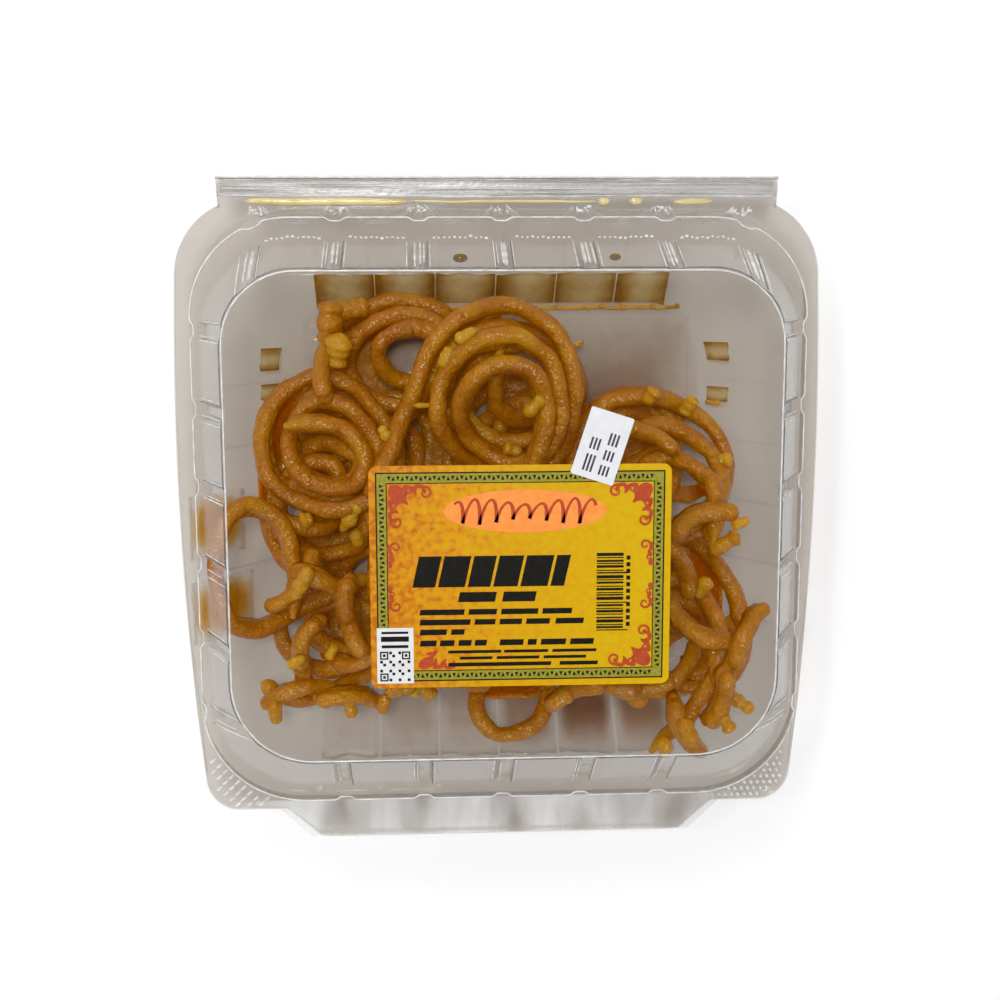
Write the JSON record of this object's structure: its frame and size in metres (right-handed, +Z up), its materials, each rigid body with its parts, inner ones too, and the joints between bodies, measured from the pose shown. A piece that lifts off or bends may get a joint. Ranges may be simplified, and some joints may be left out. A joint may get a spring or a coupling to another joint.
{
  "type": "clear hinged box of jalebi",
  "caption": "Square clear plastic clamshell box with grooved sides and a hinged, labelled lid, filled with a heap of orange syrup-soaked spiral sweets.",
  "frame": {"origin": "middle of the box's plan at the table that its floor stands on", "axes": "+X to the right as the label is seen, +Y towards the hinge, +Z up; lid closed"},
  "size_m": [0.229, 0.239, 0.077],
  "materials": {
    "clear_plastic": "clear thermoformed sheet, glossy",
    "label_print": "printed label, satin",
    "sticker_paper": "white paper sticker, matt",
    "jalebi": "fried batter soaked in syrup, sticky gloss"
  },
  "bodies": {
    "base": {"base": "clear_plastic", "jalebi_01": "jalebi", "jalebi_02": "jalebi", "jalebi_03": "jalebi", "jalebi_04": "jalebi", "jalebi_05": "jalebi", "jalebi_06": "jalebi", "jalebi_07": "jalebi", "jalebi_08": "jalebi", "jalebi_09": "jalebi", "jalebi_10": "jalebi", "jalebi_11": "jalebi", "jalebi_12": "jalebi", "jalebi_13": "jalebi", "jalebi_14": "jalebi", "jalebi_15": "jalebi", "jalebi_16": "jalebi", "jalebi_17": "jalebi", "jalebi_18": "jalebi", "jalebi_19": "jalebi", "jalebi_20": "jalebi"},
    "lid": {"lid": "clear_plastic", "label": "label_print", "date_sticker": "sticker_paper"}
  },
  "joints": [
    {"name": "lid_hinge", "type": "hinge", "parent": "base", "child": "lid", "pos_m": [0, 0.1192, 0.03915], "axis": [-1, 0, 0], "range_deg": [0, 175]}
  ]
}
